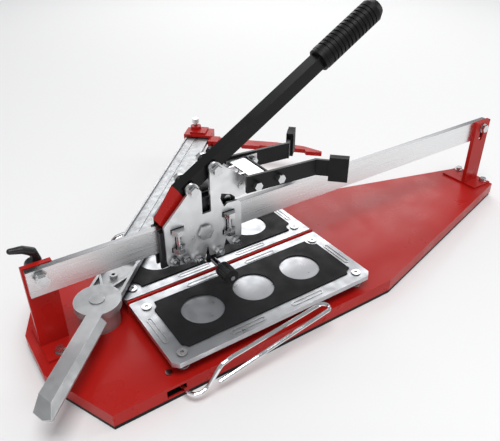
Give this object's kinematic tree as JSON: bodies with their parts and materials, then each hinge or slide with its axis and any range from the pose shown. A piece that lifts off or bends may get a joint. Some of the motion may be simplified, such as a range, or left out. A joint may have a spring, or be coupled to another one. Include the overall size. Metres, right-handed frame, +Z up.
{
  "type": "tile cutter",
  "caption": "Manual tile cutter: flat guide rail over a wide sheet base, rocking carriage with long lever, padded breaker arms, sprung tables and a swinging angle fence with sliding stop.",
  "frame": {"origin": "centre of the base's resting face, on the floor", "axes": "+X along the guide rail towards the end without the fence, +Y to the back, +Z up"},
  "size_m": [0.9753, 0.6619, 0.4289],
  "materials": {
    "red_paint": "gloss",
    "black_rubber": "matte",
    "bright_steel": "bright zinc",
    "polished_rail": "polished",
    "black_plastic": "gloss",
    "spring_steel": "satin",
    "table_sheet": "satin",
    "table_rubber": "matte",
    "dark_steel": "blackened",
    "bearing_steel": "ground",
    "zinc_plate": "bright zinc",
    "black_paint": "semi-gloss",
    "grip_rubber": "satin",
    "pad_rubber": "satin",
    "wheel_steel": "ground",
    "cast_fence": "as cast",
    "ruler_metal": "satin",
    "chrome_wire": "polished"
  },
  "bodies": {
    "frame": {"base_pan": "red_paint", "rubber_mat": "black_rubber", "breaking_ridge": "red_paint", "left_upright": "red_paint", "right_upright": "red_paint", "frame_bolts": "bright_steel", "guide_rail": "polished_rail", "rail_stud": "bright_steel", "rail_bolt": "bright_steel", "table_guide_pins": "bright_steel", "table_springs_near": "spring_steel", "table_springs_far": "spring_steel", "fence_post": "cast_fence"},
    "clamp_lever": {"rail_clamp_lever": "black_plastic"},
    "near_table": {"table_plate_near": "table_sheet", "table_mat_near": "table_rubber", "table_screws_near": "bright_steel"},
    "far_table": {"table_plate_far": "table_sheet", "table_mat_far": "table_rubber", "table_screws_far": "bright_steel"},
    "trolley": {"cheek_near": "dark_steel", "cheek_far": "dark_steel", "bearing_axles": "bright_steel", "cheek_tie_bolts": "bright_steel", "wheel_guide": "dark_steel", "pivot_studs": "bright_steel", "pivot_nuts": "bright_steel"},
    "roller_upper_left": {"bearing_upper_left": "bearing_steel"},
    "roller_upper_right": {"bearing_upper_right": "bearing_steel"},
    "roller_lower_left": {"bearing_lower_left": "bearing_steel"},
    "roller_lower_right": {"bearing_lower_right": "bearing_steel"},
    "rocker": {"plate_near": "zinc_plate", "plate_far": "zinc_plate", "adjuster_screws": "bright_steel", "plate_bolts": "bright_steel", "lever_bolts": "bright_steel", "lever_tube": "black_paint", "lever_end_block": "red_paint", "lever_collar": "grip_rubber", "lever_grip": "grip_rubber", "breaker_bracket": "zinc_plate", "breaker_arm_near": "black_paint", "breaker_arm_far": "black_paint", "breaker_pad_near": "pad_rubber", "breaker_pad_far": "pad_rubber", "breaker_bolts": "bright_steel", "breaker_spacer": "dark_steel"},
    "wheel_carrier": {"wheel_holder": "dark_steel"},
    "wheel_axle": {"wheel_pin": "bright_steel", "wheel_knob": "black_plastic"},
    "wheel": {"scoring_wheel": "wheel_steel"},
    "fence": {"fence_arm": "cast_fence", "fence_ruler": "ruler_metal", "fence_bolt": "cast_fence"},
    "stop": {"stop_slider": "red_paint", "stop_arm": "red_paint", "stop_knob": "dark_steel"},
    "stop_clamp": {"stop_screw": "bright_steel"},
    "front_rest": {"side_rest_front": "chrome_wire"},
    "back_rest": {"side_rest_back": "chrome_wire"}
  },
  "joints": [
    {"name": "trolley_slide", "type": "slide", "parent": "frame", "child": "trolley", "axis": [1, 0, 0], "range_m": [-0.075, 0.43]},
    {"name": "lever_rock", "type": "hinge", "parent": "trolley", "child": "rocker", "pos_m": [-0.206, 0, 0.143], "axis": [0, 1, 0], "range_deg": [-2, 22]},
    {"name": "wheel_lift", "type": "slide", "parent": "trolley", "child": "wheel_carrier", "axis": [0, 0, 1], "range_m": [-0.001, 0.005]},
    {"name": "wheel_pin_turn", "type": "hinge", "parent": "wheel_carrier", "child": "wheel_axle", "pos_m": [-0.188, 0, 0.078], "axis": [0, 1, 0], "continuous": true},
    {"name": "wheel_spin", "type": "hinge", "parent": "wheel_carrier", "child": "wheel", "pos_m": [-0.188, 0, 0.078], "axis": [0, 1, 0], "continuous": true},
    {"name": "upper_left_spin", "type": "hinge", "parent": "trolley", "child": "roller_upper_left", "pos_m": [-0.214, 0, 0.179], "axis": [0, 1, 0], "range_deg": [-1800, 1800]},
    {"name": "upper_right_spin", "type": "hinge", "parent": "trolley", "child": "roller_upper_right", "pos_m": [-0.16, 0, 0.179], "axis": [0, 1, 0], "range_deg": [-1800, 1800]},
    {"name": "lower_left_spin", "type": "hinge", "parent": "trolley", "child": "roller_lower_left", "pos_m": [-0.25, 0, 0.107], "axis": [0, 1, 0], "range_deg": [-1800, 1800]},
    {"name": "lower_right_spin", "type": "hinge", "parent": "trolley", "child": "roller_lower_right", "pos_m": [-0.154, 0, 0.107], "axis": [0, 1, 0], "range_deg": [-1800, 1800]},
    {"name": "clamp_turn", "type": "hinge", "parent": "frame", "child": "clamp_lever", "pos_m": [-0.44, 0.023, 0.15], "axis": [0, 1, 0], "range_deg": [-60, 90]},
    {"name": "near_table_press", "type": "slide", "parent": "frame", "child": "near_table", "axis": [0, 0, 1], "range_m": [-0.006, 0], "stiffness_N_per_m": 8000, "springref_m": 0.004, "deforming": ["table_springs_near"]},
    {"name": "far_table_press", "type": "slide", "parent": "frame", "child": "far_table", "axis": [0, 0, 1], "range_m": [-0.006, 0], "stiffness_N_per_m": 8000, "springref_m": 0.004, "deforming": ["table_springs_far"]},
    {"name": "fence_swing", "type": "hinge", "parent": "frame", "child": "fence", "pos_m": [-0.37, 0.012, 0.057], "axis": [0, 0, 1], "range_deg": [-1.5, 43.5]},
    {"name": "stop_slide", "type": "slide", "parent": "fence", "child": "stop", "axis": [0.6884, 0.7254, 0], "range_m": [-0.17, 0.001]},
    {"name": "stop_screw_turn", "type": "hinge", "parent": "stop", "child": "stop_clamp", "pos_m": [0.04272, 0.45853, 0.09], "axis": [0, 0, 1], "continuous": true},
    {"name": "front_rest_swing", "type": "hinge", "parent": "frame", "child": "front_rest", "pos_m": [-0.333, -0.134, 0.015], "axis": [0, 0, 1], "range_deg": [-43, 0]},
    {"name": "back_rest_swing", "type": "hinge", "parent": "frame", "child": "back_rest", "pos_m": [-0.333, 0.134, 0.015], "axis": [0, 0, 1], "range_deg": [0, 43]}
  ],
  "couplings": [
    {"joint": "upper_left_spin", "follows": "trolley_slide", "rad_per_m": 62.5},
    {"joint": "upper_right_spin", "follows": "trolley_slide", "rad_per_m": 62.5},
    {"joint": "lower_left_spin", "follows": "trolley_slide", "rad_per_m": -62.5},
    {"joint": "lower_right_spin", "follows": "trolley_slide", "rad_per_m": -62.5},
    {"joint": "wheel_lift", "follows": "lever_rock", "m_per_rad": 0.0115}
  ]
}
